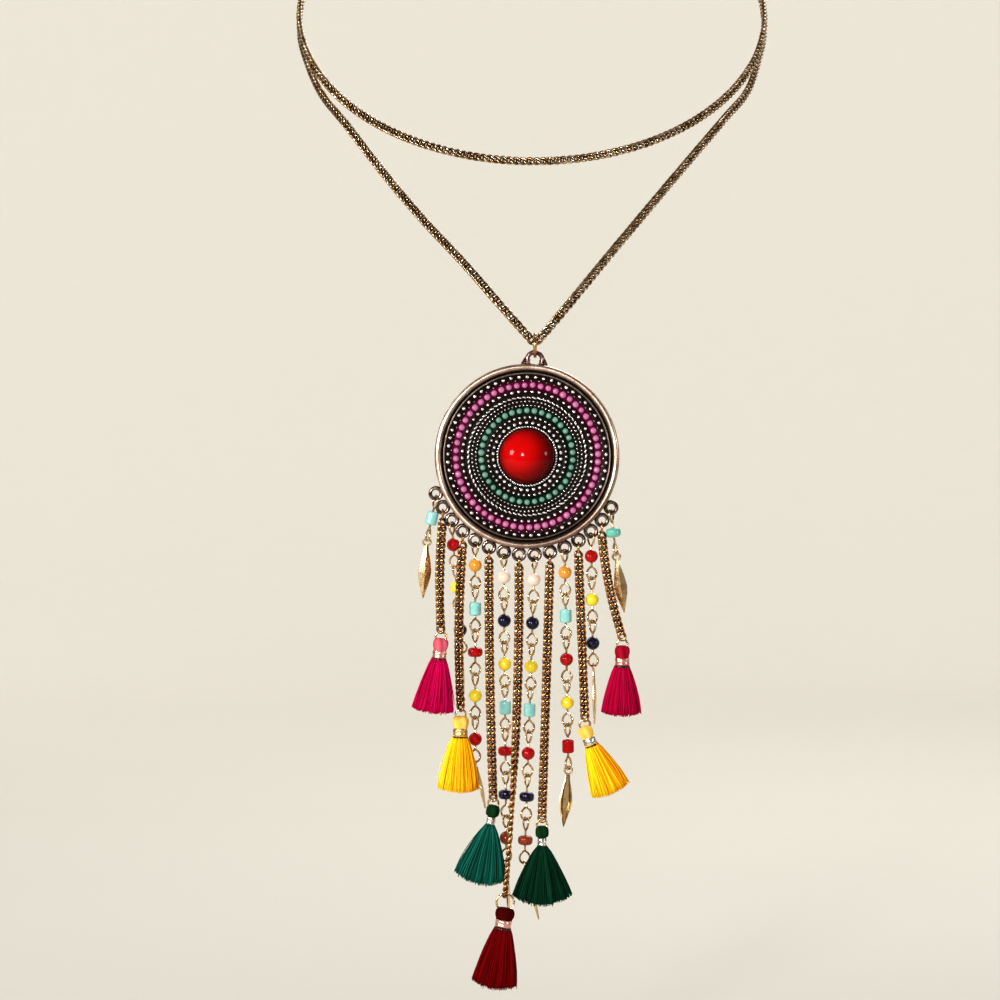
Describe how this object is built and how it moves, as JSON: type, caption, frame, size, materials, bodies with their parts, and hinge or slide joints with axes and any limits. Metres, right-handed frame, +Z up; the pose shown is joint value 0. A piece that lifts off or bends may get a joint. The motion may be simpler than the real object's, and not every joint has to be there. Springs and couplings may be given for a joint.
{
  "type": "tassel necklace",
  "caption": "Long curb-chain necklace in two turns, with a beaded disc pendant and a fringe of bead strands, fine chains, leaf spikes and thread tassels.",
  "frame": {"origin": "middle of the inner turn of the chain, where the neck goes through", "axes": "+Z up as worn, -Y to the front, +X to the viewer's right seen from the front"},
  "size_m": [0.1351, 0.1605, 0.3181],
  "materials": {
    "chain_metal": "antique rose gold plate, satin, dark in the recesses",
    "antique_metal": "antique copper gold plate with dark patina in the recesses",
    "pin_metal": "pale gold plated wire, semi bright",
    "crimp_metal": "pale rose gold plate, bright",
    "red_stone": "opaque, high gloss",
    "green_enamel": "soft gloss enamel",
    "pink_enamel": "soft gloss enamel",
    "bead_aqua": "opaque glass bead, glossy",
    "bead_red": "opaque glass bead, glossy",
    "bead_yellow": "opaque glass bead, glossy",
    "bead_orange": "opaque glass bead, glossy",
    "bead_navy": "opaque glass bead, glossy",
    "bead_ivory": "opaque glass bead, glossy",
    "bead_amber": "opaque glass bead, glossy",
    "bead_sea_green": "opaque glass bead, glossy",
    "thread_magenta": "matt cotton thread",
    "thread_yellow": "matt cotton thread",
    "thread_green": "matt cotton thread",
    "thread_crimson": "matt cotton thread"
  },
  "bodies": {
    "neck_chain": {"neck_chain_long": "chain_metal", "neck_chain_short": "chain_metal", "clasp": "chain_metal"},
    "bail": {"bail_ring": "antique_metal"},
    "pendant": {"medallion": "antique_metal", "cabochon": "red_stone", "green_beading": "green_enamel", "pink_beading": "pink_enamel", "eyelet_rings": "antique_metal", "tassel_rings": "pin_metal", "crimp_bands": "crimp_metal", "bead_pins": "pin_metal", "spikes": "pin_metal", "fringe_chain_1": "chain_metal", "fringe_chain_2": "chain_metal", "fringe_chain_3": "chain_metal", "fringe_chain_4": "chain_metal", "fringe_chain_5": "chain_metal", "fringe_chain_6": "chain_metal", "fringe_chain_7": "chain_metal", "tassel_1": "thread_magenta", "tassel_2": "thread_yellow", "tassel_3": "thread_green", "tassel_4": "thread_crimson", "tassel_5": "thread_green", "tassel_6": "thread_yellow", "tassel_7": "thread_magenta", "bead_1_1": "bead_aqua", "bead_2_1": "bead_red", "bead_2_2": "bead_yellow", "bead_2_3": "bead_navy", "bead_3_1": "bead_orange", "bead_3_2": "bead_aqua", "bead_3_3": "bead_red", "bead_3_4": "bead_yellow", "bead_3_5": "bead_red", "bead_4_1": "bead_ivory", "bead_4_2": "bead_navy", "bead_4_3": "bead_yellow", "bead_4_4": "bead_aqua", "bead_4_5": "bead_red", "bead_4_6": "bead_navy", "bead_4_7": "bead_amber", "bead_5_1": "bead_ivory", "bead_5_2": "bead_navy", "bead_5_3": "bead_yellow", "bead_5_4": "bead_aqua", "bead_5_5": "bead_red", "bead_5_6": "bead_navy", "bead_5_7": "bead_amber", "bead_6_1": "bead_orange", "bead_6_2": "bead_aqua", "bead_6_3": "bead_red", "bead_6_4": "bead_yellow", "bead_6_5": "bead_red", "bead_7_1": "bead_red", "bead_7_2": "bead_yellow", "bead_7_3": "bead_navy", "bead_8_1": "bead_sea_green"}
  },
  "joints": [
    {"name": "pendant_swing", "type": "hinge", "parent": "neck_chain", "child": "bail", "pos_m": [0, -0.088, -0.0994], "axis": [-1, 0, 0], "range_deg": [-20, 70]},
    {"name": "pendant_sway", "type": "hinge", "parent": "bail", "child": "pendant", "pos_m": [0, -0.088, -0.10325], "axis": [0, 1, 0], "range_deg": [-30, 30]}
  ]
}
